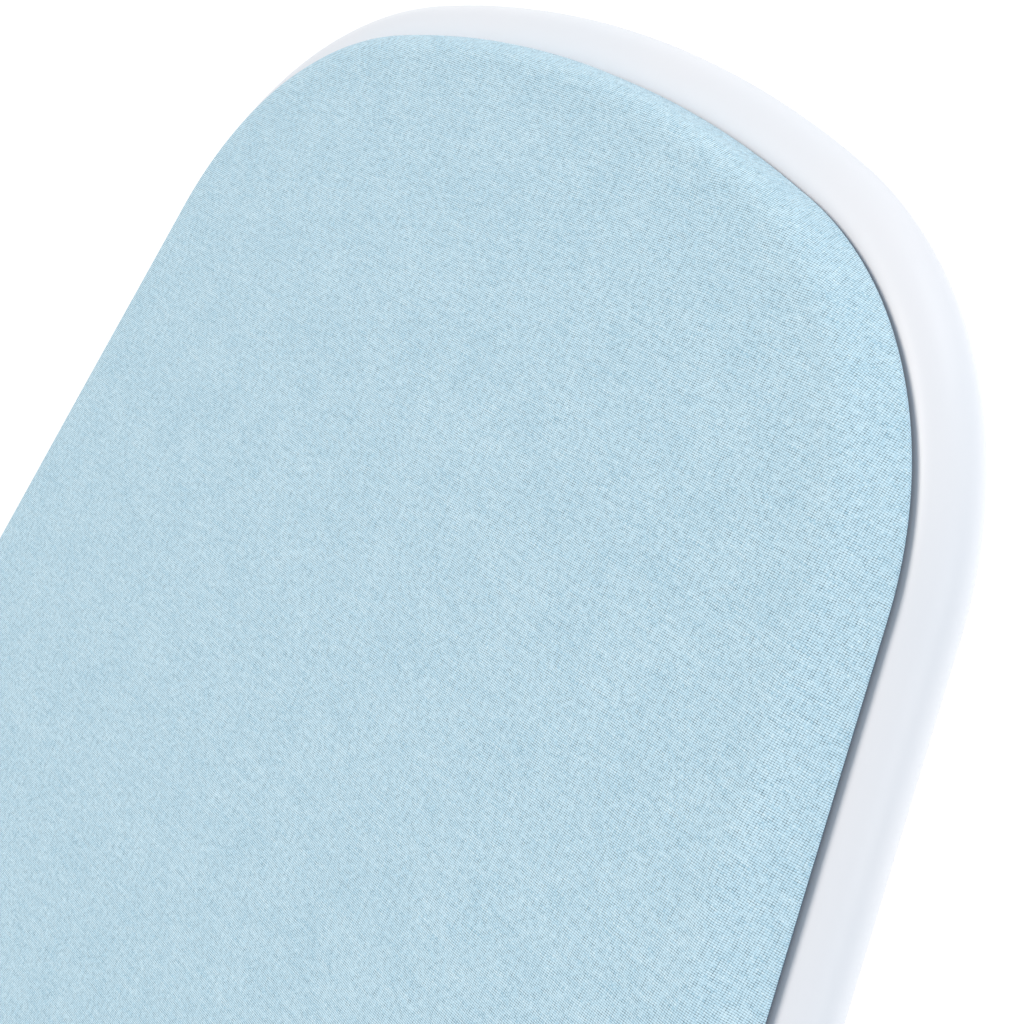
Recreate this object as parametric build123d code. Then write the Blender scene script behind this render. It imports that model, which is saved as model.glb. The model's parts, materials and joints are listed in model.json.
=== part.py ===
from build123d import *
from math import atan2, cos, hypot, radians, sin, tan
import os

# Folding ironing board, standing open at its full height.
# Millimetres.  +X points to the rounded nose, +Y to the left side, +Z up.
# The origin is on the floor, under the middle of the whole length.

# ---- driving dimensions: the top ----
board_length = 1200.0
half_width = 190.0
shoulder_half_width = 130.0     # half width across the two shoulder arcs of the nose
shoulder_spread = 44.0          # shoulder arc centres, distance from the centre line
nose_depth = 166.0              # nose arc centre, distance behind the shoulder centres
side_taper = radians(11.2)      # each side runs outwards at this angle behind the nose
side_blend_radius = 500.0       # arc between the tapering and the parallel sides
tail_corner_radius = 60.0
rim_radius = 8.0
rim_wall = 1.2
pad_inset = 9.8                 # from the rim's outer edge to the cover's edge
pad_rise = 8.5                  # cover's top above the rim's crest
cover_thickness = 0.6
panel_thickness = 3.0
hem_width = 35.0

# ---- driving dimensions: the legs ----
fold_degrees = 58.0             # legs to floor, standing
fold_angle = radians(fold_degrees)
upper_leg = 450.0               # top pivot to crossing pivot
lower_leg = 530.0               # crossing pivot to foot bar
leg_radius = 11.0
leg_wall = 1.2
outer_leg_y = 78.0
inner_leg_y = 34.0
foot_half_length = 190.0
foot_axis_height = 13.0
pivot_setback = 205.0           # fixed pivot, distance from the board's tail
pin_radius = 4.0
running_gap = 0.05              # radial clearance of a pin that turns in its hole

# ---- driving dimensions: iron rest and release lever ----
rest_reach = 218.0              # how far the pulled-out iron rest stands past the tail
rest_half_width = 110.0
rest_wire = 3.0
cross_wire = 2.5
lever_from_pivot = 560.0        # lever bar, distance in front of the fixed pivot

# ---- levels and places that follow ----
leg_length = upper_leg + lower_leg
pivot_z = foot_axis_height + leg_length * sin(fold_angle)
rim_z = pivot_z + 32.0
crest_z = rim_z + rim_radius
hem_z = crest_z - 0.1
panel_z = hem_z + cover_thickness
felt_z = panel_z + panel_thickness
cover_top_z = crest_z + pad_rise
frame_z = pivot_z + 25.7        # underside of the cross members
frame_height = 14.0
rest_z = pivot_z + 18.0
lever_z = pivot_z + 17.9

tail_x = (rest_reach - board_length) / 2
nose_x = tail_x + board_length
shoulder_radius = shoulder_half_width - shoulder_spread
nose_radius = shoulder_radius + hypot(nose_depth, shoulder_spread)
shoulder_x = nose_x - nose_radius + nose_depth
pivot_x = tail_x + pivot_setback
crossing_x = pivot_x + upper_leg * cos(fold_angle)
crossing_z = pivot_z - upper_leg * sin(fold_angle)
slide_x = pivot_x + 2 * upper_leg * cos(fold_angle)
front_foot_x = crossing_x + lower_leg * cos(fold_angle)
rear_foot_x = crossing_x - lower_leg * cos(fold_angle)
lever_x = pivot_x + lever_from_pivot
rim_split_x = pivot_x + 330.0

# Each cross member: its place along the board and its panel screws' half spacing.
cross_member_width = 30.0
cross_members = {
    "tail_cross_member": (tail_x + 48.0, 130.0),
    "pivot_cross_member": (pivot_x, 135.0),
    "middle_cross_member": (pivot_x + 492.0, 130.0),
    "front_cross_member": (pivot_x + 700.0, 112.0),
    "nose_cross_member": (pivot_x + 895.0, 35.0),
}
railed_members = ("middle_cross_member", "front_cross_member", "nose_cross_member")

# Slide rail section, as distances from the centre line and from the pivot level.
rail_inner_y = 48.0
rail_web_y = 62.5
rail_outer_y = 64.0
rail_flange_y = 84.0
rail_wall = 1.5
rail_half_height = 12.0
rail_start_x = pivot_x + 462.0
rail_end_x = pivot_x + 922.0
rivet_y = 75.0
rivet_radius = 2.0
screw_radius = 2.0


# ---- small helpers ----
def block(x0, x1, y0, y1, z0, z1):
    """Box between two corners."""
    centre = Pos((x0 + x1) / 2, (y0 + y1) / 2, (z0 + z1) / 2)
    return centre * Box(x1 - x0, y1 - y0, z1 - z0)


def bar_x(radius, x0, x1, y, z):
    """Round bar along X."""
    return Pos((x0 + x1) / 2, y, z) * Rot(0, 90, 0) * Cylinder(radius, x1 - x0)


def bar_y(radius, y0, y1, x, z):
    """Round bar along Y."""
    return Pos(x, (y0 + y1) / 2, z) * Rot(90, 0, 0) * Cylinder(radius, y1 - y0)


def bar_z(radius, z0, z1, x, y):
    """Round bar along Z."""
    return Pos(x, y, (z0 + z1) / 2) * Cylinder(radius, z1 - z0)


def mirrored(shape):
    """The same piece on the other side of the centre line."""
    return mirror(shape, about=Plane.XZ)


def swept_bar(path, radius):
    """Round bar along a path of tangent lines and arcs."""
    start = Plane(origin=path @ 0, z_dir=path % 0)
    return sweep(start * Circle(radius), path=path)


def write(name, *solids):
    """One file for each node; a group of loose pieces is one compound."""
    shape = solids[0] if len(solids) == 1 else Compound(children=list(solids))
    export_step(shape, "parts/" + name + ".step")


# ---- outline of the top ----
def half_outline(inset):
    """Corner points of the left half of the outline, moved inwards by inset.

    Returned from nose to tail: nose tip, then for each arc its two ends and its middle."""
    turn = atan2(shoulder_spread, nose_depth)
    side = radians(90) - side_taper
    normal = Vector(cos(side), sin(side))
    shoulder = Vector(shoulder_x, shoulder_spread)
    reach = shoulder.dot(normal) + shoulder_radius - side_blend_radius
    blend_y = half_width - side_blend_radius
    blend = Vector((reach - blend_y * normal.Y) / normal.X, blend_y)
    corner = Vector(tail_x + tail_corner_radius, half_width - tail_corner_radius)

    def at(centre, radius, angle):
        return centre + Vector(cos(angle), sin(angle)) * (radius - inset)

    tip = Vector(nose_x - inset, 0)
    middle = (turn + side) / 2
    upright = radians(90)
    shoulder_arc = [at(shoulder, shoulder_radius, a) for a in (turn, middle, side)]
    blend_arc = [at(blend, side_blend_radius, a) for a in (side, (side + upright) / 2, upright)]
    corner_arc = [at(corner, tail_corner_radius, radians(a)) for a in (90, 135, 180)]
    return tip, shoulder_arc, blend_arc, corner_arc


def flip(point):
    """A point's mirror image across the centre line."""
    return Vector(point.X, -point.Y)


def nose_edges(inset, end_x):
    """The outline's edges from end_x on the left side, round the nose, to the right side."""
    tip, shoulder, blend, _ = half_outline(inset)
    end = Vector(end_x, half_width - inset)
    return [
        Line(end, blend[2]),
        ThreePointArc(blend[2], blend[1], blend[0]),
        Line(blend[0], shoulder[2]),
        ThreePointArc(shoulder[2], shoulder[1], shoulder[0]),
        ThreePointArc(shoulder[0], tip, flip(shoulder[0])),
        ThreePointArc(flip(shoulder[0]), flip(shoulder[1]), flip(shoulder[2])),
        Line(flip(shoulder[2]), flip(blend[0])),
        ThreePointArc(flip(blend[0]), flip(blend[1]), flip(blend[2])),
        Line(flip(blend[2]), flip(end)),
    ]


def tail_edges(inset, end_x):
    """The outline's edges from end_x on the right side, round the tail, to the left side."""
    corner = half_outline(inset)[3]
    end = Vector(end_x, half_width - inset)
    return [
        Line(flip(end), flip(corner[0])),
        ThreePointArc(flip(corner[0]), flip(corner[1]), flip(corner[2])),
        Line(flip(corner[2]), corner[2]),
        ThreePointArc(corner[2], corner[1], corner[0]),
        Line(corner[0], end),
    ]


def slab(inset, z0, z1):
    """Flat plate with the board's outline."""
    edges = nose_edges(inset, rim_split_x) + tail_edges(inset, rim_split_x)
    return Pos(0, 0, z0) * extrude(make_face(Wire(edges)), amount=z1 - z0, dir=(0, 0, 1))


def domed_slab(inset, z0, z1, rounding):
    """Plate with a rounded upper edge."""
    plate = slab(inset, z0, z1)
    return fillet(plate.edges().group_by(Axis.Z)[-1], rounding)


# ---- the padded top ----
def fabric_cover():
    """Cover skin: top, rounded edge, and a hem turned in under the panel."""
    cover_edge = pad_rise - 0.5
    outside = domed_slab(pad_inset, hem_z, cover_top_z, cover_edge)
    hollow = domed_slab(
        pad_inset + cover_thickness,
        panel_z,
        cover_top_z - cover_thickness,
        cover_edge - cover_thickness - 0.2,
    )
    window = slab(pad_inset + hem_width, hem_z - 1, panel_z + 1)
    return outside - hollow - window


def felt_pad():
    """Felt layer, rounded at its edge like the cover over it."""
    gap = 0.08
    rounding = pad_rise - 0.5 - cover_thickness - 0.2
    full = domed_slab(
        pad_inset + cover_thickness + gap,
        panel_z,
        cover_top_z - cover_thickness - gap,
        rounding,
    )
    keep = block(tail_x, nose_x, -half_width, half_width, felt_z, cover_top_z)
    return full & keep


def vent_centres():
    """Staggered steam vents, clear of the hem, the cross members and the screws."""
    pitch = 34.0
    row_step = 30.0
    margin = pad_inset + hem_width + 12.0
    first_x = tail_x + 84.0
    rows = int((nose_x - margin - 20.0 - first_x) / row_step)
    centres = []
    for row in range(rows + 1):
        x = first_x + row * row_step
        if any(abs(x - place) < cross_member_width / 2 + 8 for place, _ in cross_members.values()):
            continue
        room = room_at(x) - margin
        shift = pitch / 2 if row % 2 else 0.0
        count = int((room - shift) / pitch)
        sides = [shift + k * pitch for k in range(count + 1)]
        centres += [(x, y) for y in sides] + [(x, -y) for y in sides if y > 0]
    return [(x, y) for x, y in centres if hypot(x - lever_x, y + 30.0) > 16.0]


def room_at(x):
    """Half width of the outline at x."""
    _, shoulder, blend, _ = half_outline(0)
    if x < blend[2].X:
        return half_width
    if x < blend[0].X:
        return half_width - side_blend_radius + (side_blend_radius ** 2 - (x - blend[2].X) ** 2) ** 0.5
    if x < shoulder[2].X:
        return shoulder[2].Y + (shoulder[2].X - x) * tan(side_taper)
    if x < shoulder[0].X:
        return shoulder_spread + (shoulder_radius ** 2 - (x - shoulder_x) ** 2) ** 0.5
    return (nose_radius ** 2 - (x - shoulder_x + nose_depth) ** 2) ** 0.5


def screw_places():
    """Centres of the screws that hold the panel down."""
    return [(x, side * y) for x, y in cross_members.values() for side in (1, -1)]


def deck_panel():
    """Hardboard panel with steam vents and blind pilot holes for its screws."""
    panel = slab(pad_inset + cover_thickness + 0.7, panel_z, felt_z)
    vents = [bar_z(5.0, panel_z - 1, felt_z + 1, x, y) for x, y in vent_centres()]
    pilots = [bar_z(screw_radius, panel_z - 1, felt_z - 0.8, x, y) for x, y in screw_places()]
    return panel - vents - pilots


# ---- rim and cross members ----
def rim_path(edges):
    """Centre line of a rim tube, lifted to its level."""
    return Pos(0, 0, rim_z) * Wire(edges)


def rim_tube(edges):
    """Hollow tube along part of the outline."""
    path = rim_path(edges)
    return swept_bar(path, rim_radius) - swept_bar(path, rim_radius - rim_wall)


def rim_joint_sleeve():
    """Plug that joins the two rim tubes inside their left joint."""
    length = 60.0
    y = half_width - rim_radius
    radius = rim_radius - rim_wall
    outside = bar_x(radius, rim_split_x - length / 2, rim_split_x + length / 2, y, rim_z)
    bore = bar_x(radius - 1.5, rim_split_x - length, rim_split_x + length, y, rim_z)
    return outside - bore


def cross_member(x, screw_y, rim_core):
    """Rectangular tube between the rim's two sides, holed for screws and rail rivets."""
    wall = 1.5
    x0 = x - cross_member_width / 2
    x1 = x + cross_member_width / 2
    z1 = frame_z + frame_height
    tube = block(x0, x1, -half_width, half_width, frame_z, z1)
    tube -= block(x0 + wall, x1 - wall, -half_width, half_width, frame_z + wall, z1 - wall)
    tube &= slab(rim_radius, frame_z - 1, z1 + 1)
    for side in (1, -1):
        tube -= bar_z(screw_radius + 0.2, frame_z - 1, z1 + 1, x, side * screw_y)
    return tube - rim_core


def riveted_cross_member(name, rim_core):
    """Cross member with the holes its rivets need."""
    x, screw_y = cross_members[name]
    member = cross_member(x, screw_y, rim_core)
    if name in railed_members:
        member -= [bar_z(rivet_radius, frame_z - 1, frame_z + 3, x, s * rivet_y) for s in (1, -1)]
    if name == "tail_cross_member":
        for place_x, y in guide_rivet_places():
            member -= [bar_z(rivet_radius, frame_z - 1, frame_z + 3, place_x, s * y) for s in (1, -1)]
    return member


def panel_screw(x, y):
    """Pan-head screw, up through a cross member into the panel."""
    head = bar_z(4.0, frame_z - 2.4, frame_z, x, y)
    head = fillet(head.edges().group_by(Axis.Z)[0], 1.2)
    slot = block(x - 3, x + 3, y - 0.5, y + 0.5, frame_z - 3, frame_z - 1.4)
    cross = block(x - 0.5, x + 0.5, y - 3, y + 3, frame_z - 3, frame_z - 1.4)
    return head + bar_z(screw_radius, frame_z, felt_z - 0.9, x, y) - slot - cross


def rivet(x, y, z_head, z_tail):
    """Blind rivet with a flat head below and an upset end above."""
    head = bar_z(4.0, z_head - 1.4, z_head, x, y)
    head = fillet(head.edges().group_by(Axis.Z)[0], 0.8)
    return head + bar_z(rivet_radius, z_head, z_tail, x, y) + bar_z(3.0, z_tail, z_tail + 1.2, x, y)


# ---- fixed pivot ----
def pivot_bracket():
    """U-shaped bracket that hugs the left outer leg under the pivot cross member."""
    wall = 2.0
    gap = 0.4
    inside = (outer_leg_y - leg_radius - gap, outer_leg_y + leg_radius + gap)
    x0 = pivot_x - 16.0
    x1 = pivot_x + 16.0
    shell = block(x0, x1, inside[0] - wall, inside[1] + wall, pivot_z - 14.0, frame_z)
    low_edges = shell.edges().filter_by(Axis.Y).group_by(Axis.Z)[0]
    shell = fillet(low_edges, 12.0)
    shell -= block(x0 - 1, x1 + 1, inside[0], inside[1], pivot_z - 20.0, frame_z - wall)
    return shell - bar_y(pin_radius, 0, 200, pivot_x, pivot_z)


def rod_cap(y0, y1, x, z, depth):
    """Domed cap pushed on a rod's end."""
    cap = bar_y(7.0, y0, y1, x, z)
    cap = fillet(cap.edges().group_by(Axis.Y)[-1], 3.0)
    return cap - bar_y(pin_radius, y0 - 1, y0 + depth, x, z)


# ---- legs ----
def on_leg(shape, x, z, angle):
    """Place a leg piece, drawn along +X from its top pivot, at its standing angle."""
    return Pos(x, 0, z) * Rot(0, angle, 0) * shape


def leg_tube(y):
    """Leg drawn along +X: holed at its two pivots and shaped to its foot bar."""
    start = -7.0
    tube = bar_x(leg_radius, start, leg_length, y, 0)
    tube -= bar_x(leg_radius - leg_wall, start - 1, leg_length + 1, y, 0)
    for place in (0, upper_leg):
        tube -= bar_y(pin_radius + running_gap, y - 20, y + 20, place, 0)
    return tube - bar_y(leg_radius, y - 30, y + 30, leg_length, 0)


def leg_plug(y):
    """Plug in a leg's top end, with a low dome."""
    stem = bar_x(leg_radius - leg_wall, -7.0, -4.6, y, 0)
    dome = Pos(-7.0, y, 0) * Rot(0, -90, 0) * Cylinder(
        leg_radius, 4.0, align=(Align.CENTER, Align.CENTER, Align.MIN)
    )
    return stem + fillet(dome.edges().group_by(Axis.X)[0], 3.6)


def foot_bar():
    """Cross tube at the foot of a pair of legs, drawn at the origin."""
    reach = foot_half_length - 8.0
    return bar_y(leg_radius, -reach, reach, 0, 0) - bar_y(leg_radius - leg_wall, -400, 400, 0, 0)


def foot_cap():
    """Rubber cap on the left end of a foot bar, cut flat where it stands."""
    radius = leg_radius + 3.0
    inner_end = foot_half_length - 42.0
    cap = bar_y(radius, inner_end, foot_half_length, 0, 0)
    cap = fillet(cap.edges().group_by(Axis.Y)[-1], 5.0)
    cap = fillet(cap.edges().group_by(Axis.Y)[0], 1.0)
    cap -= bar_y(leg_radius, inner_end - 1, foot_half_length - 8.0, 0, 0)
    for place in (10.0, 18.0, 26.0):
        groove = bar_y(radius + 1, inner_end + place - 1.0, inner_end + place + 1.0, 0, 0)
        groove -= bar_y(radius - 0.8, inner_end, foot_half_length, 0, 0)
        cap -= groove
    return cap - block(-30, 30, 0, 300, -60, -foot_axis_height)


def brace_between(half_gap, radius, place, y, bore):
    """Cross tube between a pair of legs, drawn on the leg's own X line."""
    tube = bar_y(radius, -half_gap - leg_radius, half_gap + leg_radius, place, 0)
    tube -= bar_y(bore, -200, 200, place, 0)
    for side in (1, -1):
        tube -= bar_x(leg_radius, -50, leg_length + 50, side * y, 0)
    return tube


def centre_spacer():
    """Sleeve between the left outer and inner legs at the crossing."""
    y0 = inner_leg_y + leg_radius + 0.5
    y1 = outer_leg_y - leg_radius - 0.3
    sleeve = bar_y(8.0, y0, y1, crossing_x, crossing_z)
    return sleeve - bar_y(pin_radius, y0 - 1, y1 + 1, crossing_x, crossing_z)


def centre_nut():
    """Domed hexagon nut on the left end of the crossing rod."""
    y0 = outer_leg_y + leg_radius + 0.3
    hexagon = extrude(RegularPolygon(7.5, 6), amount=5.0)
    dome = Pos(0, 0, 5.0) * Cylinder(6.2, 3.4, align=(Align.CENTER, Align.CENTER, Align.MIN))
    dome = fillet(dome.edges().group_by(Axis.Z)[-1], 3.0)
    bore = Cylinder(pin_radius, 5.4, align=(Align.CENTER, Align.CENTER, Align.MIN))
    return Pos(crossing_x, y0, crossing_z) * Rot(-90, 0, 0) * (hexagon + dome - bore)


# ---- slide ----
def slide_rail():
    """Left rail: a channel open to the centre, hung from the cross members by a flange."""
    low = pivot_z - rail_half_height
    high = pivot_z + rail_half_height
    web = block(rail_start_x, rail_end_x, rail_web_y, rail_outer_y, low - rail_wall, frame_z)
    rail = web + block(rail_start_x, rail_end_x, rail_inner_y, rail_web_y, low - rail_wall, low)
    rail += block(rail_start_x, rail_end_x, rail_inner_y, rail_web_y, high, high + rail_wall)
    rail += block(
        rail_start_x, rail_end_x, rail_outer_y, rail_flange_y, frame_z - rail_wall, frame_z
    )
    rail -= block(lever_x - 18, lever_x + 18, 40, 100, high + rail_wall, frame_z + 1)
    for name in railed_members:
        rail -= bar_z(rivet_radius, frame_z - 5, frame_z + 5, cross_members[name][0], rivet_y)
    return rail


def rail_stops():
    """Plastic stops at both ends of both rails."""
    low = pivot_z - rail_half_height
    high = pivot_z + rail_half_height
    rear = block(rail_start_x, rail_start_x + 2.4, rail_inner_y + 0.6, rail_web_y, low, high)
    front = block(rail_end_x - 8.0, rail_end_x, rail_inner_y + 0.6, rail_web_y, low, high)
    return [rear, front, mirrored(rear), mirrored(front)]


def glide():
    """Left sliding block, a loose fit in its rail, pressed on the slide rod."""
    height = rail_half_height - 0.4
    body = block(
        slide_x - 12.0,
        slide_x + 12.0,
        rail_inner_y + 0.4,
        rail_web_y - 0.4,
        pivot_z - height,
        pivot_z + height,
    )
    body = fillet(body.edges().filter_by(Axis.Y), 4.0)
    return body - bar_y(pin_radius, 0, 100, slide_x, pivot_z)


# ---- release lever ----
lever_hinge_y = 74.0
lever_half_width = 10.0
lever_thickness = 3.0
lever_end_y = -164.0
lever_drop = 27.0
lever_slope_run = 14.0
lever_pin_radius = 2.5
lever_half_pin = 16.0


def lever_strip():
    """Side outline of the lever bar: level over the legs, then down to the handle."""
    top = lever_thickness / 2
    bend_y = -93.0
    foot_y = bend_y - lever_slope_run
    slope = hypot(lever_slope_run, lever_drop)
    inside = lever_thickness * (slope - lever_slope_run) / lever_drop
    return Polyline(
        (lever_hinge_y, top),
        (bend_y, top),
        (foot_y, top - lever_drop),
        (lever_end_y, top - lever_drop),
        (lever_end_y, -top - lever_drop),
        (foot_y + inside, -top - lever_drop),
        (bend_y + inside, -top),
        (lever_hinge_y, -top),
        close=True,
    )


def lever_bar():
    """Steel strip across the board with a rolled eye round its hinge pin."""
    eye = Pos(lever_hinge_y, 0) * Circle(4.5)
    hole = Pos(lever_hinge_y, 0) * Circle(lever_pin_radius + running_gap)
    profile = Plane.YZ * (make_face(lever_strip()) + eye - hole)
    start = Pos(lever_x - lever_half_width, 0, lever_z)
    return start * extrude(profile, amount=2 * lever_half_width)


def lever_grip(bar):
    """Moulded handle over the lever bar's outer end, with finger grooves below."""
    top = lever_z - lever_drop + 6.0
    grip = block(lever_x - 15, lever_x + 15, -168.0, -112.0, top - 13.0, top)
    grip = fillet(grip.edges().filter_by(Axis.Y), 5.0)
    for k in range(3):
        y = -153.0 + 13.0 * k
        grip -= bar_x(6.0, lever_x - 20, lever_x + 20, y, top - 17.2)
    return grip - bar


def height_comb():
    """Notched comb along the board under the lever bar."""
    x0 = pivot_x + 466.0
    x1 = pivot_x + 690.0
    top = lever_z - lever_thickness / 2
    tips = pivot_z + 8.2
    comb = block(x0, x1, -1.5, 1.5, tips, top) + block(x0, x1, 1.5, 14.0, top - 2.0, top)
    notch_pitch = 27.0
    for k in range(8):
        comb -= bar_y(5.2, -10, 1.5, slide_x + notch_pitch * k, tips - 0.4)
    return comb


def lever_bracket():
    """Hanger under the left rail's flange, with two ears for the hinge pin."""
    y0 = lever_hinge_y - 5.5
    y1 = lever_hinge_y + 5.5
    reach = 15.0
    high = frame_z - rail_wall
    bracket = block(lever_x - 30, lever_x + 30, y0, y1, high - 1.5, high)
    for side in (1, -1):
        inner = lever_x + side * (lever_half_width + 1.0)
        outer = lever_x + side * reach
        bracket += block(min(inner, outer), max(inner, outer), y0, y1, pivot_z + 12.6, high - 1.5)
    return bracket - bar_x(lever_pin_radius, lever_x - 40, lever_x + 40, lever_hinge_y, lever_z)


spring_y = -30.0
spring_radius = 5.6
spring_wire = 0.7
spring_foot_z = lever_z + lever_thickness / 2 + 0.1
spring_head_z = panel_z - 1.6


def lever_spring():
    """Compression spring that holds the lever down."""
    turns = 6
    height = spring_head_z - spring_foot_z - 2 * spring_wire
    path = Helix(pitch=height / turns, height=height, radius=spring_radius)
    coil = sweep(Plane(origin=path @ 0, z_dir=path % 0) * Circle(spring_wire), path=path, is_frenet=True)
    return Pos(lever_x, spring_y, spring_foot_z + spring_wire) * coil


def spring_peg():
    """Flanged peg under the panel that the spring sits round."""
    flange = bar_z(9.0, panel_z - 1.5, panel_z, lever_x, spring_y)
    return flange + bar_z(4.2, panel_z - 8.0, panel_z, lever_x, spring_y)


# ---- iron rest ----
guide_half_width = 11.0
guide_flange = 4.0              # extra width outside, where the rivets pass
guide_rivet_y = rest_half_width + 8.5
guide_rivet_half_gap = 8.0


def guide_rivet_places():
    """Rivet places of the left guide."""
    x = cross_members["tail_cross_member"][0]
    return [(x + side * guide_rivet_half_gap, guide_rivet_y) for side in (1, -1)]


def rest_guide():
    """Left plastic guide, a slot open to the centre, riveted to the tail cross member."""
    x0 = tail_x + 18.0
    x1 = tail_x + 78.0
    inner_y = rest_half_width - guide_half_width
    outer_y = rest_half_width + guide_half_width + guide_flange
    body = block(x0, x1, inner_y, outer_y, pivot_z + 12.0, frame_z)
    body = fillet(body.edges().filter_by(Axis.X).group_by(Axis.Z)[0], 2.0)
    body -= bar_x(rest_wire + 0.1, x0 - 1, x1 + 1, rest_half_width, rest_z)
    slot = cross_wire + 0.35
    body -= block(x0 - 1, x1 + 1, rest_half_width - 20, rest_half_width, rest_z - slot, rest_z + slot)
    for x, y in guide_rivet_places():
        body -= bar_z(rivet_radius, pivot_z, frame_z + 1, x, y)
    return body


def rest_frame():
    """Iron rest's U-shaped wire, pulled out."""
    inner_end = tail_x + 100.0
    outer_end = tail_x - rest_reach + rest_wire
    path = FilletPolyline(
        (inner_end, rest_half_width, rest_z),
        (outer_end, rest_half_width, rest_z),
        (outer_end, -rest_half_width, rest_z),
        (inner_end, -rest_half_width, rest_z),
        radius=35.0,
    )
    return swept_bar(path, rest_wire)


rest_wire_places = (-45.0, -85.0, -125.0, -165.0)


def rest_cross_wires(frame):
    """Wires welded across the iron rest's frame."""
    wires = [
        bar_y(cross_wire, -rest_half_width, rest_half_width, tail_x + place, rest_z)
        for place in rest_wire_places
    ]
    return [wire - frame for wire in wires]


def heel_stop(frame):
    """Raised wire loop that stops the iron from sliding off the end."""
    x = tail_x - rest_reach + rest_wire
    half = 70.0
    path = FilletPolyline(
        (x, half, rest_z),
        (x, half, rest_z + 30.0),
        (x, -half, rest_z + 30.0),
        (x, -half, rest_z),
        radius=14.0,
    )
    return swept_bar(path, cross_wire) - frame


def rest_pad():
    """Left silicone strip along the iron rest, ribbed on top."""
    z0 = rest_z + cross_wire + 0.1
    x0 = tail_x - 172.0
    x1 = tail_x - 38.0
    pad = block(x0, x1, 42.0, 58.0, z0, z0 + 2.4)
    pad = fillet(pad.edges().group_by(Axis.Z)[-1], 1.0)
    for k in range(16):
        x = x0 + 7.0 + 8.0 * k
        pad -= block(x - 0.8, x + 0.8, 44.0, 56.0, z0 + 1.6, z0 + 4)
    return pad


def rest_collar(frame):
    """Left collar that keeps the iron rest from pulling out of its guide."""
    return bar_x(5.5, tail_x + 79.0, tail_x + 85.0, rest_half_width, rest_z) - frame


# ---- writing each body's nodes ----
def write_top():
    write("fabric_cover", fabric_cover())
    write("felt_pad", felt_pad())
    write("deck_panel", deck_panel())


def write_frame():
    nose = nose_edges(rim_radius, rim_split_x)
    tail = tail_edges(rim_radius, rim_split_x)
    rim_core = [swept_bar(rim_path(edges), rim_radius) for edges in (nose, tail)]
    write("rim_nose_tube", rim_tube(nose))
    write("rim_tail_tube", rim_tube(tail))
    write("rim_joint_sleeves", rim_joint_sleeve(), mirrored(rim_joint_sleeve()))
    for name in cross_members:
        write(name, riveted_cross_member(name, rim_core))
    write("panel_screws", *[panel_screw(x, y) for x, y in screw_places()])


def write_pivot():
    bracket = pivot_bracket()
    write("left_pivot_bracket", bracket)
    write("right_pivot_bracket", mirrored(bracket))
    write("pivot_rod", bar_y(pin_radius, -96.0, 96.0, pivot_x, pivot_z))
    cap = rod_cap(91.8, 99.0, pivot_x, pivot_z, 4.2)
    write("pivot_rod_caps", cap, mirrored(cap))


def write_slide():
    rail = slide_rail()
    write("left_slide_rail", rail)
    write("right_slide_rail", mirrored(rail))
    rivets = [
        rivet(cross_members[name][0], side * rivet_y, frame_z - rail_wall, frame_z + 1.5)
        for name in railed_members
        for side in (1, -1)
    ]
    write("rail_rivets", *rivets)
    write("rail_end_stops", *rail_stops())
    write("slide_rod", bar_y(pin_radius, -60.0, 60.0, slide_x, pivot_z))
    write("left_glide", glide())
    write("right_glide", mirrored(glide()))


def write_legs(prefix, y, top_x, angle, foot_x):
    """One pair of legs with its foot bar, caps and top plugs."""
    for side, name in ((1, "left"), (-1, "right")):
        tube = on_leg(leg_tube(side * y), top_x, pivot_z, angle)
        write(name + "_" + prefix + "_leg", tube)
        cap = foot_cap() if side > 0 else mirrored(foot_cap())
        write(name + "_" + prefix + "_foot_cap", Pos(foot_x, 0, foot_axis_height) * cap)
    write(prefix + "_foot_bar", Pos(foot_x, 0, foot_axis_height) * foot_bar())
    plugs = [on_leg(leg_plug(side * y), top_x, pivot_z, angle) for side in (1, -1)]
    write(prefix + "_leg_top_plugs", *plugs)


def write_scissor():
    write_legs("outer", outer_leg_y, pivot_x, fold_degrees, front_foot_x)
    write_legs("inner", inner_leg_y, slide_x, 180.0 - fold_degrees, rear_foot_x)
    half_gap = inner_leg_y - leg_radius
    sleeve = brace_between(half_gap, 7.0, 0.0, inner_leg_y, pin_radius + running_gap)
    brace = brace_between(half_gap, 8.0, 760.0, inner_leg_y, 6.8)
    write("inner_leg_top_sleeve", on_leg(sleeve, slide_x, pivot_z, 180.0 - fold_degrees))
    write("inner_leg_brace", on_leg(brace, slide_x, pivot_z, 180.0 - fold_degrees))
    write("crossing_rod", bar_y(pin_radius, -94.0, 94.0, crossing_x, crossing_z))
    write("crossing_spacers", centre_spacer(), mirrored(centre_spacer()))
    write("crossing_nuts", centre_nut(), mirrored(centre_nut()))


def write_lever():
    bar = lever_bar()
    write("lever_bar", bar)
    write("lever_grip", lever_grip(bar))
    write("height_comb", height_comb())
    write("lever_bracket", lever_bracket())
    pin = bar_x(lever_pin_radius, lever_x - lever_half_pin, lever_x + lever_half_pin, lever_hinge_y, lever_z)
    write("lever_hinge_pin", pin)
    write("lever_spring", lever_spring())
    write("spring_peg", spring_peg())


def write_iron_rest():
    frame = rest_frame()
    write("iron_rest_frame", frame)
    write("iron_rest_cross_wires", *rest_cross_wires(frame))
    write("iron_heel_stop", heel_stop(frame))
    write("iron_rest_pads", rest_pad(), mirrored(rest_pad()))
    write("iron_rest_collars", rest_collar(frame), mirrored(rest_collar(frame)))
    write("left_rest_guide", rest_guide())
    write("right_rest_guide", mirrored(rest_guide()))
    rivets = [rivet(x, y, pivot_z + 12.0, frame_z + 1.5) for x, y in guide_rivet_places()]
    write("guide_rivets", *rivets, *[mirrored(one) for one in rivets])


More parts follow.
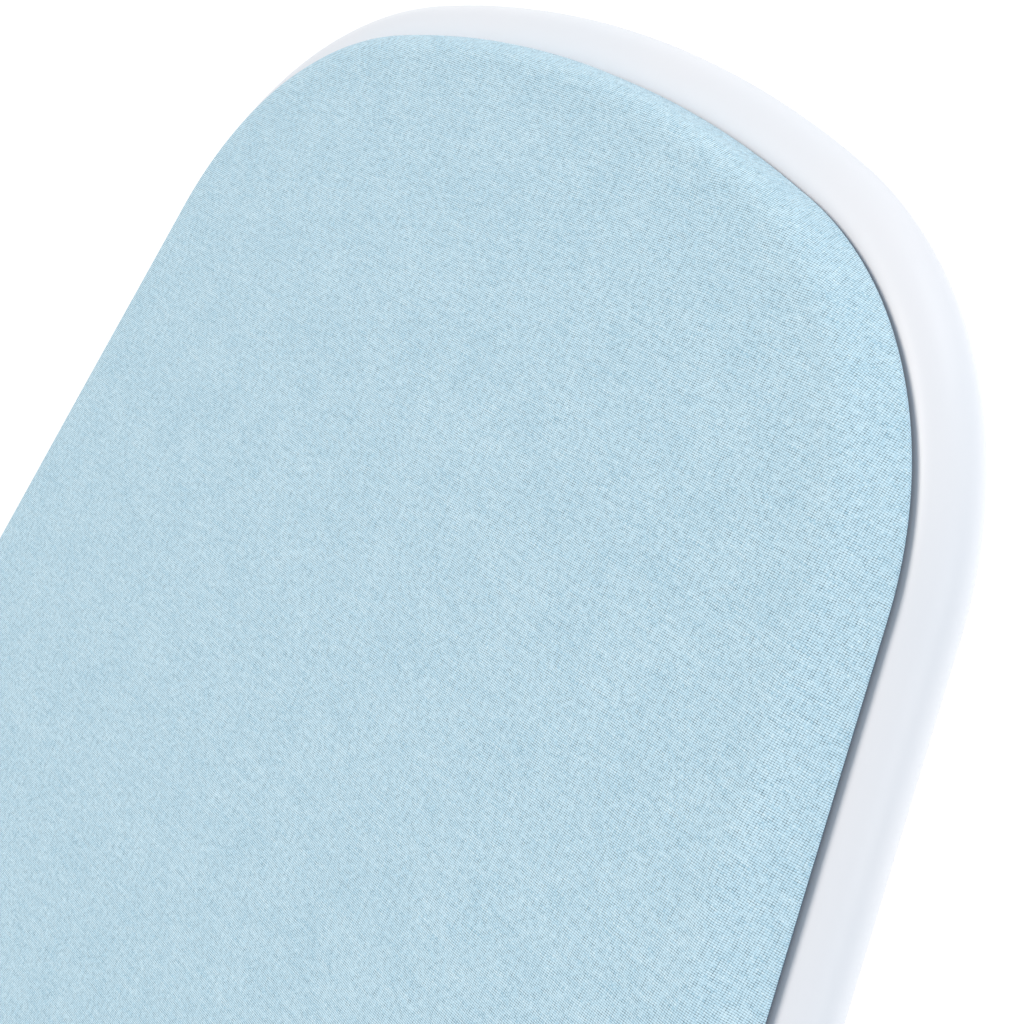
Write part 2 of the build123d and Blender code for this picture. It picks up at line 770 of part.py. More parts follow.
os.makedirs("parts", exist_ok=True)
write_top()
write_frame()
write_pivot()
write_slide()
write_scissor()
write_lever()
write_iron_rest()
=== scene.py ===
import json
import math

import bmesh
import bpy
from mathutils import Matrix, Vector, noise


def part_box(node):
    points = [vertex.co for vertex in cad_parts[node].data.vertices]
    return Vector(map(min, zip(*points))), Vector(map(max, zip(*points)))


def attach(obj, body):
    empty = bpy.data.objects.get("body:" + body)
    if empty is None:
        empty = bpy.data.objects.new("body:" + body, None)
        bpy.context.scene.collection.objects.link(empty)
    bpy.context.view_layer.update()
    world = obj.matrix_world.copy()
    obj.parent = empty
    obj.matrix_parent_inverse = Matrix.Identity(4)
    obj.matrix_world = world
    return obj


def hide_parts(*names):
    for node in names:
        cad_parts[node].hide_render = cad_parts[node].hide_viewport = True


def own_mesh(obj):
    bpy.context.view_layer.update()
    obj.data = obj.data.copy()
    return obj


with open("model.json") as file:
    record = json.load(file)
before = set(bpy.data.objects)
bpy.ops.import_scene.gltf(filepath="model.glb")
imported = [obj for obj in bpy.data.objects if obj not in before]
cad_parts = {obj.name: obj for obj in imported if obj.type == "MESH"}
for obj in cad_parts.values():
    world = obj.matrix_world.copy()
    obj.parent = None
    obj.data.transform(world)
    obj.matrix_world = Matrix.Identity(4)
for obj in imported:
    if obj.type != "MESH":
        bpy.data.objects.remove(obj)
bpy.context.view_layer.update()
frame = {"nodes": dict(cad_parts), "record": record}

# ---- sizes, in metres ----
MM = 0.001
rim_low, rim_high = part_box("rim_nose_tube")
tail_low, tail_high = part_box("rim_tail_tube")
panel_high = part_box("deck_panel")[1]
cover_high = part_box("fabric_cover")[1]

nose_x = rim_high.x
tail_x = tail_low.x
half_width = tail_high.y
crest_z = rim_high.z
rim_radius = (rim_high.z - rim_low.z) / 2
rim_z = crest_z - rim_radius
rim_split_x = rim_low.x

shoulder_half_width = 130 * MM
shoulder_spread = 44 * MM
nose_depth = 166 * MM
side_taper = math.radians(11.2)
side_blend_radius = 500 * MM
tail_corner_radius = 60 * MM
pad_inset = 9.8 * MM
pad_rise = cover_high.z - crest_z
edge_rounding = 11 * MM
fold_radius = 1.1 * MM
hem_width = 35 * MM

shoulder_radius = shoulder_half_width - shoulder_spread
nose_radius = shoulder_radius + math.hypot(nose_depth, shoulder_spread)
shoulder_x = nose_x - nose_radius + nose_depth


# ---- outline ----
def arc(centre, radius, start, end, step):
    """Points and outward normals along an arc, without its last point."""
    count = max(2, math.ceil(abs(end - start) * radius / step))
    turns = [start + (end - start) * k / count for k in range(count)]
    return [(centre + Vector((math.cos(t), math.sin(t))) * radius, t) for t in turns]


def straight(start, end, turn, step):
    """Points and outward normals along a straight side, without its last point."""
    count = max(2, math.ceil((end - start).length / step))
    return [(start.lerp(end, k / count), turn) for k in range(count)]


def outline(step=4 * MM, arc_step=2.5 * MM):
    """The rim's outer edge, once round from the nose tip by the left side: point and normal angle."""
    turn = math.atan2(shoulder_spread, nose_depth)
    side = math.pi / 2 - side_taper
    normal = Vector((math.cos(side), math.sin(side)))
    nose = Vector((shoulder_x - nose_depth, 0))
    shoulder = Vector((shoulder_x, shoulder_spread))
    reach = shoulder.dot(normal) + shoulder_radius - side_blend_radius
    blend_y = half_width - side_blend_radius
    blend = Vector(((reach - blend_y * normal.y) / normal.x, blend_y))
    corner = Vector((tail_x + tail_corner_radius, half_width - tail_corner_radius))
    quarter = math.pi / 2
    left = arc(nose, nose_radius, 0, turn, arc_step)
    left += arc(shoulder, shoulder_radius, turn, side, arc_step)
    taper_start = shoulder + normal * shoulder_radius
    left += straight(taper_start, blend + normal * side_blend_radius, side, step)
    left += arc(blend, side_blend_radius, side, quarter, step)
    split = Vector((rim_split_x, half_width))
    left += straight(Vector((blend.x, half_width)), split, quarter, step)
    left += straight(split, Vector((corner.x, half_width)), quarter, step)
    left += arc(corner, tail_corner_radius, quarter, 2 * quarter, arc_step)
    left += straight(Vector((tail_x, corner.y)), Vector((tail_x, 0)), math.pi, step)
    tail = (Vector((tail_x, 0)), math.pi)
    right = [(Vector((p.x, -p.y)), -t) for p, t in left[:0:-1]]
    return left + [tail] + right


loop = outline()


def inward(inset):
    """The outline moved inwards."""
    return [p - Vector((math.cos(t), math.sin(t))) * inset for p, t in loop]


# ---- mesh helpers ----
def new_piece(name, verts, faces, material, body):
    """A mesh object that rides on a body."""
    mesh = bpy.data.meshes.new(name)
    mesh.from_pydata(verts, [], faces)
    mesh.validate()
    mesh.polygons.foreach_set("use_smooth", [True] * len(mesh.polygons))
    mesh.materials.append(material)
    piece = bpy.data.objects.new(name, mesh)
    bpy.context.scene.collection.objects.link(piece)
    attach(piece, body)
    return piece


def apply_modifiers(piece):
    """Replaces the piece's mesh with its modified one."""
    graph = bpy.context.evaluated_depsgraph_get()
    mesh = bpy.data.meshes.new_from_object(piece.evaluated_get(graph))
    piece.modifiers.clear()
    piece.data = mesh


def ring_faces(first, second, count):
    """Quads between two rings of vertices."""
    return [
        (first + k, first + (k + 1) % count, second + (k + 1) % count, second + k)
        for k in range(count)
    ]


def tube_mesh(path, radius, sides):
    """Vertices and faces of a round tube along an open path of points, with flat ends."""
    verts, faces = [], []
    count = len(path)
    up = None
    for k, point in enumerate(path):
        before = path[max(k - 1, 0)]
        after = path[min(k + 1, count - 1)]
        along = (after - before).normalized()
        if up is None:
            up = along.orthogonal().normalized()
        across = along.cross(up).normalized()
        up = across.cross(along).normalized()
        for s in range(sides):
            a = 2 * math.pi * s / sides
            verts.append(point + (up * math.cos(a) + across * math.sin(a)) * radius)
    for k in range(count - 1):
        faces += ring_faces(k * sides, (k + 1) * sides, sides)
    faces.append(tuple(range(sides)))
    faces.append(tuple(reversed(range((count - 1) * sides, count * sides))))
    return verts, faces


# ---- material helpers ----
class Nodes:
    """A material's node tree, with short calls for the nodes used here."""

    def __init__(self, name, base, roughness, metallic=0.0):
        self.material = bpy.data.materials.new(name)
        self.material.use_nodes = True
        self.tree = self.material.node_tree
        self.shader = self.tree.nodes["Principled BSDF"]
        self.shader.inputs["Base Color"].default_value = (*base, 1)
        self.shader.inputs["Roughness"].default_value = roughness
        self.shader.inputs["Metallic"].default_value = metallic

    def set(self, socket, value):
        self.shader.inputs[socket].default_value = value

    def link(self, output, node_input):
        self.tree.links.new(output, node_input)

    def feed(self, node_input, value):
        if isinstance(value, bpy.types.NodeSocket):
            self.link(value, node_input)
        else:
            node_input.default_value = value

    def math(self, operation, a, b=0.0):
        node = self.tree.nodes.new("ShaderNodeMath")
        node.operation = operation
        self.feed(node.inputs[0], a)
        self.feed(node.inputs[1], b)
        return node.outputs[0]

    def mix(self, factor, a, b, blend="MIX"):
        node = self.tree.nodes.new("ShaderNodeMix")
        node.data_type = "RGBA"
        node.blend_type = blend
        self.feed(node.inputs["Factor"], factor)
        self.feed(node.inputs[6], a)
        self.feed(node.inputs[7], b)
        return node.outputs[2]

    def ramp(self, value, low, high, to_low=0.0, to_high=1.0):
        node = self.tree.nodes.new("ShaderNodeMapRange")
        self.feed(node.inputs["Value"], value)
        ends = {"From Min": low, "From Max": high, "To Min": to_low, "To Max": to_high}
        for name, number in ends.items():
            node.inputs[name].default_value = number
        return node.outputs["Result"]

    def position(self):
        """Object coordinates, which are the row frame's at rest."""
        return self.tree.nodes.new("ShaderNodeTexCoord").outputs["Object"]

    def attribute(self, name):
        node = self.tree.nodes.new("ShaderNodeAttribute")
        node.attribute_name = name
        return node.outputs["Vector"]

    def split(self, vector):
        node = self.tree.nodes.new("ShaderNodeSeparateXYZ")
        self.link(vector, node.inputs[0])
        return node.outputs

    def join(self, x, y, z=0.0):
        node = self.tree.nodes.new("ShaderNodeCombineXYZ")
        for socket, value in zip(node.inputs, (x, y, z)):
            self.feed(socket, value)
        return node.outputs[0]

    def noise(self, vector, scale, detail=2.0, rough=0.5):
        node = self.tree.nodes.new("ShaderNodeTexNoise")
        self.link(vector, node.inputs["Vector"])
        node.inputs["Scale"].default_value = scale
        node.inputs["Detail"].default_value = detail
        node.inputs["Roughness"].default_value = rough
        return node.outputs["Fac"]

    def bump(self, height, distance, strength=1.0):
        node = self.tree.nodes.new("ShaderNodeBump")
        node.inputs["Strength"].default_value = strength
        node.inputs["Distance"].default_value = distance
        self.link(height, node.inputs["Height"])
        self.link(node.outputs["Normal"], self.shader.inputs["Normal"])

    def color(self, output):
        self.link(output, self.shader.inputs["Base Color"])

    def roughness(self, output):
        self.link(output, self.shader.inputs["Roughness"])


# ---- materials ----
warp_pitch = 0.525 * MM
weft_pitch = 0.415 * MM


def thread_tone(k, along, index, streak, seed):
    """Melange tone of one thread: it changes from thread to thread and slowly along it."""
    place = k.join(k.math("MULTIPLY", along, 1 / streak), k.math("MULTIPLY", index, 7.31), seed)
    return k.noise(place, 1.0, detail=2.0, rough=0.6)


def cover_cloth():
    """Light blue linen-look plain weave: pale and blue fibres mixed in each thread."""
    k = Nodes("cover_cloth", (0.5, 0.7, 0.8), 0.9)
    # the cloth attribute's third value marks the profile points painted as shade in the gap by the rim
    u, v, gap_shade_mask = k.split(k.attribute("cloth"))
    wobble = k.noise(k.attribute("cloth"), 160.0, detail=1.0)
    shift = k.ramp(wobble, 0.25, 0.75, -0.35, 0.35)
    warp = k.math("ADD", k.math("MULTIPLY", v, 1 / warp_pitch), shift)
    weft = k.math("SUBTRACT", k.math("MULTIPLY", u, 1 / weft_pitch), shift)
    warp_index = k.math("FLOOR", warp)
    weft_index = k.math("FLOOR", weft)
    over = k.math("FLOORED_MODULO", k.math("ADD", warp_index, weft_index), 2.0)
    across = k.math("ABSOLUTE", k.math("SINE", k.math("MULTIPLY", warp, math.pi)))
    along = k.math("ABSOLUTE", k.math("SINE", k.math("MULTIPLY", weft, math.pi)))

    across = k.math("POWER", across, 0.65)
    along = k.math("POWER", along, 1.4)

    def crown(round_side, long_side):
        arch = k.math("ADD", k.math("MULTIPLY", k.math("POWER", long_side, 0.6), 0.7), 0.3)
        return k.math("MULTIPLY", k.math("POWER", round_side, 0.6), arch)

    warp_height = crown(across, along)
    weft_height = crown(along, across)
    height = k.math(
        "ADD",
        k.math("MULTIPLY", warp_height, over),
        k.math("MULTIPLY", weft_height, k.math("SUBTRACT", 1.0, over)),
    )
    warp_tone = thread_tone(k, u, warp_index, 2.4 * MM, 3.0)
    warp_tone = k.ramp(warp_tone, 0.0, 1.0, 0.27, 0.73)
    weft_tone = thread_tone(k, v, weft_index, 4.6 * MM, 19.0)
    tone = k.math(
        "ADD",
        k.math("MULTIPLY", warp_tone, over),
        k.math("MULTIPLY", weft_tone, k.math("SUBTRACT", 1.0, over)),
    )
    fibres = k.noise(k.attribute("cloth"), 2600.0, detail=2.0, rough=0.7)
    patch = k.noise(k.attribute("cloth"), 70.0, detail=3.0, rough=0.6)
    mixed = k.math("ADD", k.math("MULTIPLY", tone, 0.7), k.math("MULTIPLY", patch, 0.14))
    mixed = k.math("ADD", mixed, k.math("MULTIPLY", fibres, 0.16))
    shade = k.ramp(mixed, 0.34, 0.66)
    pale = (0.70, 0.89, 0.985, 1)
    blue = (0.44, 0.665, 0.80, 1)
    fibre = k.mix(shade, blue, pale)
    loose = k.noise(k.attribute("cloth"), 900.0, detail=2.0, rough=0.6)
    depth = k.math("ADD", height, k.math("MULTIPLY", k.math("SUBTRACT", loose, 0.5), 0.9))
    # painted shade and highlight: thread gaps darkened down to 0.3 and thread crowns lifted to 1.12,
    # from the weave height plus noise
    painted_weave_shade = k.ramp(depth, 0.05, 0.6, 0.3, 1.12)
    fibre_with_painted_shade = k.mix(1.0, fibre, k.join(painted_weave_shade, painted_weave_shade, painted_weave_shade), "MULTIPLY")
    # painted shade: marked points under the fold's lip get near-black blue, standing in for the shadow
    # in the gap between cover and rim tube
    k.color(k.mix(gap_shade_mask, fibre_with_painted_shade, (0.012, 0.07, 0.14, 1)))
    k.set("Sheen Weight", 0.15)
    k.set("Sheen Roughness", 0.5)
    k.set("Specular IOR Level", 0.25)
    k.bump(height, 0.12 * MM, 0.7)
    return k.material


def powder_coat():
    """Satin white powder coat with faint orange peel."""
    k = Nodes("white_powder_coat", (0.9, 0.9, 0.91), 0.28)
    place = k.position()
    tint = k.noise(place, 14.0, detail=2.0)
    k.color(k.mix(k.ramp(tint, 0.1, 0.9), (0.82, 0.85, 0.905, 1), (0.875, 0.865, 0.895, 1)))
    k.roughness(k.ramp(k.noise(place, 50.0), 0.1, 0.9, 0.34, 0.46))
    k.set("Specular IOR Level", 0.3)
    k.set("Coat Weight", 0.05)
    k.set("Coat Roughness", 0.25)
    k.bump(k.noise(place, 700.0, detail=1.0), 0.012 * MM, 0.3)
    return k.material


def zinc():
    """Bright zinc plate: drawn lines along the metal and a faint spangle."""
    k = Nodes("zinc_plate", (0.62, 0.63, 0.65), 0.35, 1.0)
    place = k.position()
    along, side, up = k.split(place)
    drawn = k.join(
        k.math("MULTIPLY", along, 60.0),
        k.math("MULTIPLY", side, 900.0),
        k.math("MULTIPLY", up, 900.0),
    )
    lines = k.noise(drawn, 1.0)
    spangle = k.noise(place, 120.0, detail=4.0)
    k.color(k.mix(k.ramp(spangle, 0.35, 0.65), (0.50, 0.51, 0.53, 1), (0.72, 0.73, 0.75, 1)))
    k.roughness(k.ramp(k.math("ADD", lines, spangle), 0.7, 1.3, 0.26, 0.46))
    k.bump(lines, 0.03 * MM, 0.4)
    return k.material


def moulded_plastic():
    """Grey moulded plastic with a fine spark texture."""
    k = Nodes("moulded_plastic", (0.4, 0.43, 0.46), 0.5)
    place = k.position()
    grain = k.noise(place, 1500.0, detail=2.0)
    cloud = k.noise(place, 25.0, detail=3.0)
    k.color(k.mix(k.ramp(cloud, 0.3, 0.7), (0.33, 0.36, 0.39, 1), (0.40, 0.43, 0.46, 1)))
    k.roughness(k.ramp(grain, 0.3, 0.7, 0.42, 0.62))
    k.bump(grain, 0.06 * MM, 0.6)
    return k.material


def foot_rubber():
    """Matt rubber, scuffed and dusty low down where it stands."""
    k = Nodes("foot_rubber", (0.2, 0.21, 0.23), 0.8)
    place = k.position()
    dust = k.noise(place, 70.0, detail=5.0, rough=0.7)
    low = k.ramp(k.split(place)[2], 0.0, 0.02, 1.0, 0.2)
    dusty = k.math("MULTIPLY", k.ramp(dust, 0.45, 0.7), low)
    k.color(k.mix(dusty, (0.16, 0.17, 0.19, 1), (0.36, 0.36, 0.36, 1)))
    k.roughness(k.ramp(dusty, 0.0, 1.0, 0.7, 0.92))
    k.bump(k.noise(place, 700.0, detail=3.0), 0.08 * MM, 0.6)
    return k.material


def hardboard():
    """Brown pressed-fibre board with fine flecks."""
    k = Nodes("pressed_hardboard", (0.32, 0.2, 0.12), 0.6)
    place = k.position()
    flecks = k.noise(place, 420.0, detail=5.0, rough=0.75)
    cloud = k.noise(place, 12.0, detail=3.0)
    tone = k.math("ADD", k.math("MULTIPLY", flecks, 0.6), k.math("MULTIPLY", cloud, 0.4))
    k.color(k.mix(k.ramp(tone, 0.35, 0.65), (0.20, 0.115, 0.065, 1), (0.42, 0.275, 0.165, 1)))
    k.roughness(k.ramp(flecks, 0.3, 0.7, 0.5, 0.72))
    k.bump(flecks, 0.08 * MM, 0.5)
    return k.material


def felt():
    """Needled grey-white felt."""
    k = Nodes("needled_felt", (0.75, 0.75, 0.73), 1.0)
    place = k.position()
    fluff = k.noise(place, 600.0, detail=5.0, rough=0.8)
    k.color(k.mix(k.ramp(fluff, 0.3, 0.7), (0.60, 0.60, 0.58, 1), (0.82, 0.82, 0.80, 1)))
    k.set("Sheen Weight", 0.4)
    k.bump(fluff, 0.4 * MM, 0.8)
    return k.material


def chrome_wire():
    """Bright chromed wire with faint draw marks."""
    k = Nodes("chromed_wire", (0.8, 0.81, 0.82), 0.12, 1.0)
    place = k.position()
    haze = k.noise(place, 55.0, detail=4.0)
    k.color(k.mix(k.ramp(haze, 0.3, 0.7), (0.72, 0.73, 0.75, 1), (0.85, 0.86, 0.87, 1)))
    k.roughness(k.ramp(haze, 0.35, 0.7, 0.08, 0.2))
    k.bump(k.noise(place, 1200.0), 0.01 * MM, 0.3)
    return k.material


def silicone():
    """Soft matt silicone."""
    k = Nodes("soft_silicone", (0.25, 0.28, 0.31), 0.6)
    place = k.position()
    bloom = k.noise(place, 90.0, detail=4.0)
    k.color(k.mix(k.ramp(bloom, 0.3, 0.7), (0.22, 0.25, 0.28, 1), (0.29, 0.32, 0.35, 1)))
    k.roughness(k.ramp(bloom, 0.3, 0.7, 0.55, 0.75))
    k.set("Coat Weight", 0.05)
    k.bump(k.noise(place, 1100.0), 0.03 * MM, 0.4)
    return k.material


def floor_paper():
    """Seamless white studio paper."""
    k = Nodes("floor_paper", (0.9, 0.9, 0.9), 0.9)
    place = k.position()
    k.color(k.mix(k.noise(place, 3.0), (0.93, 0.93, 0.93, 1), (0.96, 0.96, 0.96, 1)))
    k.set("Emission Color", (1, 1, 1, 1))
    k.set("Emission Strength", 0.2)
    return k.material


finishes = {
    "cover_fabric": cover_cloth(),
    "felt": felt(),
    "hardboard": hardboard(),
    "white_enamel": powder_coat(),
    "zinc_steel": zinc(),
    "grey_plastic": moulded_plastic(),
    "foot_rubber": foot_rubber(),
    "chromed_wire": chrome_wire(),
    "silicone": silicone(),
}


def finish_cad_nodes():
    """Each CAD node gets its slot's material."""
    slots = {part["node"]: part["material_slot"] for part in frame["record"]["subparts"]}
    for name, node in frame["nodes"].items():
        node.data.materials.clear()
        node.data.materials.append(finishes[slots[name]])


# ---- padded cover ----
cloth_thickness = 0.5 * MM
fold_inset_side = 9.9 * MM      # fold's centre, in from the rim's outer edge, on the left and the tail
fold_inset_nose = 1.8 * MM      # this much further in at the nose
fold_nose_skew = 0.8            # and more so on the nose's left
fold_outset_right = 2.3 * MM    # this much further out on the right
fold_rise_side = 1.15 * MM      # fold's centre above the rim's crest
fold_lift_right = 0.7 * MM      # this much higher on the right
rounding_cut_nose = 5.5 * MM    # tighter rounding at the nose
rounding_shift_nose = 4.7 * MM  # and its centre further out
hem_clearance = 0.05 * MM
hem_shares = (1.0, 0.97, 0.6, 0.32, 0.3, 0.12)
gap_shade_first, gap_shade_stop = 4, 11      # profile points painted near-black blue as the shade in the gap between cover and rim
crown_rise = 1.1 * MM
crown_run = 60 * MM
unevenness = 0.16 * MM
spine_nose_gap = 30 * MM
spine_tail_gap = 150 * MM


def edge_shape(turn):
    """Inset and rise of the fold's centre, and inset and radius of the rounding, facing `turn`."""
    nose = max(0.0, math.cos(turn)) ** 2
    right = max(0.0, -math.sin(turn))
    lean = 1 + fold_nose_skew * math.sin(turn)
    fold_inset = fold_inset_side + fold_inset_nose * nose * lean - fold_outset_right * right
    fold_rise = fold_rise_side + fold_lift_right * right
    radius = edge_rounding - rounding_cut_nose * nose
    usual_inset = pad_inset + edge_rounding - rounding_shift_nose * nose
    round_inset = max(usual_inset, fold_inset + radius - fold_radius)
    return fold_inset, fold_rise, round_inset, radius


def edge_curve(turn, shrink=0.0):
    """Edge of the pad, from under its fold up to the flat top: inset and height."""
    fold_inset, fold_rise, round_inset, radius = edge_shape(turn)
    round_rise = pad_rise - radius
    across = round_inset - fold_inset
    rise = round_rise - fold_rise
    slope = math.acos((radius - fold_radius) / math.hypot(across, rise)) - math.atan2(rise, across)
    points = []
    for inset, height, size, start, end, steps in (
        (fold_inset, fold_rise, fold_radius, -math.pi / 2, slope, 9),
        (round_inset, round_rise, radius, slope, math.pi / 2, 12),
    ):
        for k in range(steps + 1):
            a = start + (end - start) * k / steps
            reach = size - shrink
            points.append((inset - math.cos(a) * reach, crest_z + height + math.sin(a) * reach))
    return points


def cover_profile(turn):
    """From the hem's inner edge, round the fold, to the flat top."""
    bottom = crest_z + hem_clearance
    hem = [(pad_inset + hem_width * share, bottom) for share in hem_shares]
    return hem + edge_curve(turn)


def crown(run):
    """How far the padding stands above its edge height, this far in from the rounding."""
    t = min(1.0, run / crown_run)
    return crown_rise * t * t * (3 - 2 * t)


def undulation(point):
    """Slight unevenness of the felt under stretched cloth."""
    return unevenness * noise.noise(Vector((point.x, point.y, 0.3)) * 22)


def lengths_from_end(profile):
    """Length of cloth from each point of a profile to its last one."""
    runs = [0.0]
    for (i, z), (j, y) in zip(profile[::-1], profile[-2::-1]):
        runs.append(runs[-1] + math.hypot(i - j, z - y))
    return runs[::-1]


def spine_point(base):
    """Nearest place on the line down the middle of the top."""
    return Vector((min(shoulder_x - spine_nose_gap, max(tail_x + spine_tail_gap, base.x)), 0))


def padded_cover():
    """Cover, rounded edge and turned-in hem as one thin shell of cloth."""
    profiles = [cover_profile(t) for p, t in loop]
    run_lists = [lengths_from_end(profile) for profile in profiles]
    outs = [Vector((math.cos(t), math.sin(t))) for p, t in loop]
    edge_ring = [p - out * profile[-1][0] for (p, t), out, profile in zip(loop, outs, profiles)]
    count = len(loop)
    verts, cloth, faces = [], [], []
    for k in range(len(profiles[0])):
        for (p, t), out, profile, runs, base in zip(loop, outs, profiles, run_lists, edge_ring):
            inset, z = profile[k]
            q = p - out * inset
            lift = undulation(q) * max(0.0, min(1.0, (z - crest_z) / (4 * MM)))
            verts.append((q.x, q.y, z + lift))
            flat = base + out * runs[k]
            # third value is 1 on the profile points painted as the dark shade in the gap by the rim
            cloth.append((flat.x, flat.y, 1.0 if gap_shade_first <= k < gap_shade_stop else 0.0))
    inner_steps = 36
    for k in range(1, inner_steps + 1):
        for base in edge_ring:
            q = base.lerp(spine_point(base), k / inner_steps)
            top = cover_high.z + crown((base - q).length)
            verts.append((q.x, q.y, top + undulation(q)))
            cloth.append((q.x, q.y, 0.0))
    for k in range(len(profiles[0]) + inner_steps - 1):
        faces += ring_faces(k * count, (k + 1) * count, count)
    piece = new_piece("padded_cover", verts, faces, finishes["cover_fabric"], "top")
    layer = piece.data.attributes.new("cloth", "FLOAT_VECTOR", "POINT")
    layer.data.foreach_set("vector", [c for point in cloth for c in point])
    return piece


def close_spine(piece):
    """Joins the two sides where they meet along the centre line."""
    work = bmesh.new()
    work.from_mesh(piece.data)
    bmesh.ops.remove_doubles(work, verts=work.verts, dist=0.02 * MM)
    bmesh.ops.dissolve_degenerate(work, edges=work.edges, dist=0.01 * MM)
    bmesh.ops.recalc_face_normals(work, faces=work.faces)
    if max(work.faces, key=lambda f: f.calc_center_median().z).normal.z < 0:
        bmesh.ops.reverse_faces(work, faces=work.faces)
    work.to_mesh(piece.data)
    work.free()


def flat_cut_area():
    """Area of the cloth as cut: the top's outline, grown by the hem all round."""
    ring = [p for p, t in outline()]
    edges = list(zip(ring, ring[1:] + ring[:1]))
    around = sum((b - a).length for a, b in edges)
    enclosed = abs(sum(a.x * b.y - a.y * b.x for a, b in edges)) / 2
    return enclosed + around * hem_width + math.pi * hem_width ** 2


def make_cover():
    piece = padded_cover()
    close_spine(piece)
    shell = piece.modifiers.new("cloth thickness", "SOLIDIFY")
    shell.thickness = cloth_thickness
    shell.offset = -1
    apply_modifiers(piece)
    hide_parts("fabric_cover")
    flat_cut_area()
    return piece


def felt_layer():
    """Felt layer under the cloth, with its rounded edge and a slight crown."""
    low = panel_high.z + 0.05 * MM
    under_cloth = 0.75 * MM
    rounding_points = 10
    base_inset = 55 * MM
    count = len(loop)
    rings = [[] for k in range(rounding_points + 2)]
    for p, t in loop:
        out = Vector((math.cos(t), math.sin(t)))
        curve = edge_curve(t, shrink=under_cloth)[-rounding_points:]
        curve = [(inset, max(low + 0.02 * MM * k, z)) for k, (inset, z) in enumerate(curve)]
        foot = [(base_inset, low), (curve[0][0] + 0.3 * MM, low)]
        for ring, (inset, z) in zip(rings, foot + curve):
            q = p - out * inset
            ring.append((q.x, q.y, z))
    steps = 12
    for k in range(1, steps + 1):
        ring = []
        for x, y, z in rings[rounding_points + 1]:
            base = Vector((x, y))
            q = base.lerp(spine_point(base), k / steps)
            ring.append((q.x, q.y, cover_high.z - under_cloth + crown((base - q).length)))
        rings.append(ring)
    top_rings = len(rings)
    for k in range(1, steps + 1):
        bases = [Vector(point[:2]) for point in rings[0]]
        under = [base.lerp(spine_point(base), k / steps) for base in bases]
        rings.append([(q.x, q.y, low) for q in under])
    faces = []
    for k in range(top_rings - 1):
        faces += ring_faces(k * count, (k + 1) * count, count)
    under_rings = [0] + list(range(top_rings, len(rings)))
    for first, second in zip(under_rings, under_rings[1:]):
        faces += [tuple(reversed(f)) for f in ring_faces(first * count, second * count, count)]
    verts = [point for ring in rings for point in ring]
    piece = new_piece("felt_layer", verts, faces, finishes["felt"], "top")
    close_spine(piece)
    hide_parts("felt_pad")


# ---- rim ----
rim_sides = 56


def rim_paths():
    """Centre lines of the nose tube and the tail tube."""
    gap = 0.15 * MM
    centre = [Vector((q.x, q.y, rim_z)) for q in inward(rim_radius)]
    ahead = [p for p in centre if p.x > rim_split_x + gap]
    behind = [p for p in centre if p.x < rim_split_x - gap]
    left = [p for p in ahead if p.y >= 0]
    right = [p for p in ahead if p.y < 0]
    y = half_width - rim_radius
    ends = [Vector((rim_split_x + gap, side * y, rim_z)) for side in (1, -1)]
    nose = [ends[1]] + right + left + [ends[0]]
    ends = [Vector((rim_split_x - gap, side * y, rim_z)) for side in (1, -1)]
    return nose, [ends[0]] + behind + [ends[1]]


def make_rim():
    """White tubes of the rim, smooth all round."""
    for path, node in zip(rim_paths(), ("rim_nose_tube", "rim_tail_tube")):
        verts, faces = tube_mesh(path, rim_radius, rim_sides)
        coat = finishes["white_enamel"]
        piece = new_piece(node + "_coated", verts, faces, coat, "top")
        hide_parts(node)


# ---- lever spring ----
wire_sides = 12


def make_lever_spring():
    """Coil between lever and panel."""
    low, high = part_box("lever_spring")
    middle = (low + high) / 2
    wire = 0.7 * MM
    radius = (high.x - low.x) / 2 - wire
    turns, turn_steps = 6, 32
    count = turns * turn_steps
    path = []
    for k in range(count + 1):
        a = 2 * math.pi * k / turn_steps
        z = low.z + wire + (high.z - low.z - 2 * wire) * k / count
        path.append(Vector((middle.x + radius * math.cos(a), middle.y + radius * math.sin(a), z)))
    verts, faces = tube_mesh(path, wire, wire_sides)
    piece = new_piece("lever_spring_coil", verts, faces, finishes["zinc_steel"], "top")
    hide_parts("lever_spring")
    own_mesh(piece)


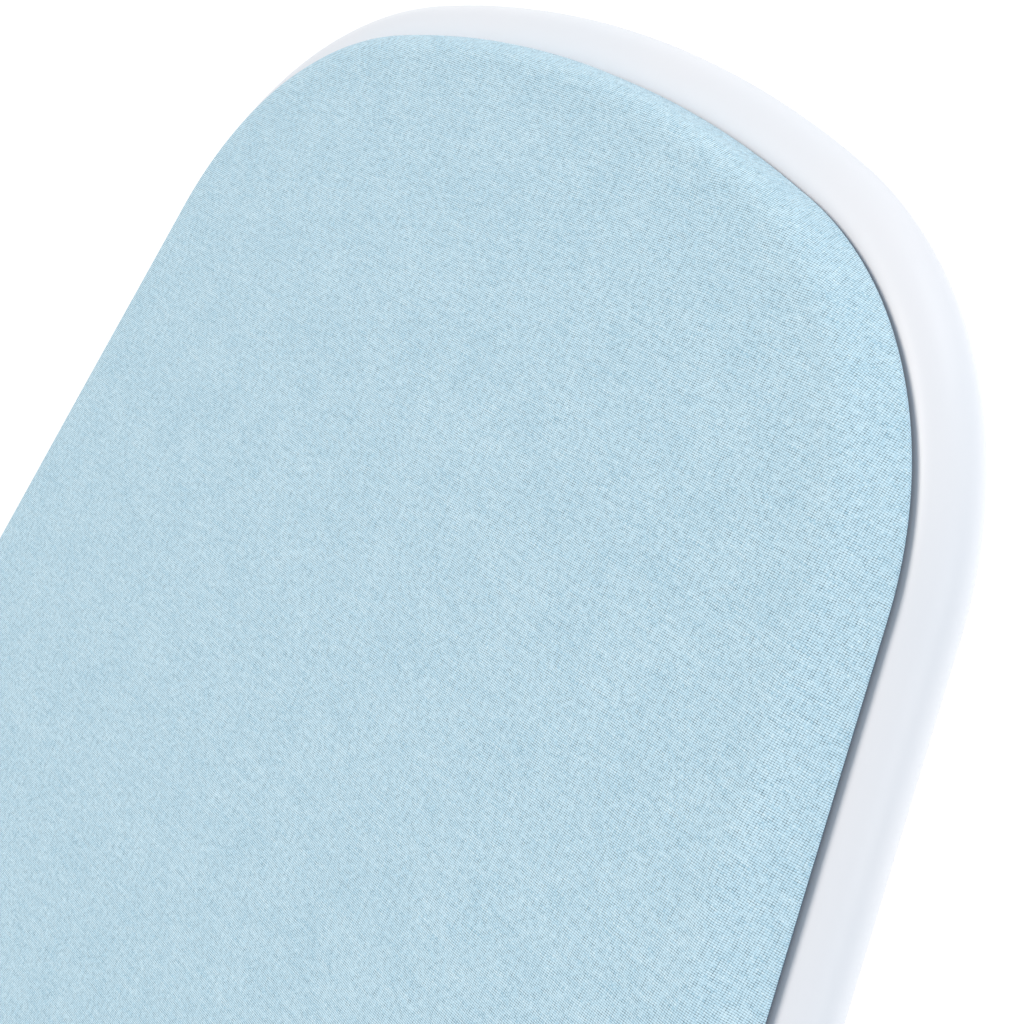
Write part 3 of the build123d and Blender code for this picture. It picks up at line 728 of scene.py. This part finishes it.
# ---- camera, floor and light ----
def make_camera():
    """Close view of the nose from above and to its right, rolled so that the nose points up."""
    distance = 411.1 * MM
    azimuth = math.radians(-78.204)
    elevation = math.radians(43.253)
    roll = math.radians(-73.667)
    aim_behind_shoulder = 5.17 * MM
    aim_side = -28.82 * MM
    target = Vector((shoulder_x - aim_behind_shoulder, aim_side, crest_z))
    back = Vector((
        math.cos(azimuth) * math.cos(elevation),
        math.sin(azimuth) * math.cos(elevation),
        math.sin(elevation),
    ))
    level = Vector((0, 0, 1)).cross(back).normalized()
    up = back.cross(level)
    right = level * math.cos(roll) + up * math.sin(roll)
    upward = up * math.cos(roll) - level * math.sin(roll)
    data = bpy.data.cameras.new("camera")
    data.sensor_width = 36
    data.lens = 72.93
    data.clip_start = 0.01
    data.clip_end = 50
    camera = bpy.data.objects.new("camera", data)
    turn = Matrix((right, upward, back)).transposed()
    camera.matrix_world = Matrix.Translation(target + back * distance) @ turn.to_4x4()
    bpy.context.scene.collection.objects.link(camera)
    bpy.context.scene.camera = camera


def make_floor():
    """Wide pale floor."""
    reach = 14.0
    mesh = bpy.data.meshes.new("floor")
    corners = [(-reach, -reach, 0), (reach, -reach, 0), (reach, reach, 0), (-reach, reach, 0)]
    mesh.from_pydata(corners, [], [(0, 1, 2, 3)])
    mesh.materials.append(floor_paper())
    floor = bpy.data.objects.new("floor", mesh)
    bpy.context.scene.collection.objects.link(floor)


def area_light(name, place, target, size, power):
    """Round soft light aimed at the target."""
    data = bpy.data.lights.new(name, "AREA")
    data.shape = "DISK"
    data.size = size
    data.energy = power
    light = bpy.data.objects.new(name, data)
    light.location = place
    light.rotation_mode = "QUATERNION"
    light.rotation_quaternion = (Vector(target) - Vector(place)).to_track_quat("-Z", "Y")
    bpy.context.scene.collection.objects.link(light)
    return light


def make_light():
    """Soft key from ahead on the left, broad fill from the right, pale surroundings."""
    sun = bpy.data.lights.new("key", "SUN")
    sun.energy = 1.7
    sun.color = (1.07, 0.98, 0.885)
    sun.angle = math.radians(24)
    key = bpy.data.objects.new("key", sun)
    towards = Vector((0.25, 0.55, 1.9))
    key.rotation_mode = "QUATERNION"
    key.rotation_quaternion = (-towards).to_track_quat("-Z", "Y")
    bpy.context.scene.collection.objects.link(key)
    nose = (shoulder_x, 0, crest_z)
    area_light("right_fill", (1.2, -3.0, 1.35), nose, size=1.6, power=17)
    area_light("front_fill", (3.7, -0.9, 1.4), nose, size=1.6, power=17)
    world = bpy.data.worlds.new("studio")
    world.use_nodes = True
    background = world.node_tree.nodes["Background"]
    background.inputs["Color"].default_value = (0.80, 0.94, 1.06, 1)
    background.inputs["Strength"].default_value = 0.43
    bpy.context.scene.world = world
    bpy.context.scene.view_settings.view_transform = "Standard"


finish_cad_nodes()
make_cover()
felt_layer()
make_rim()
make_lever_spring()
make_camera()
make_floor()
make_light()
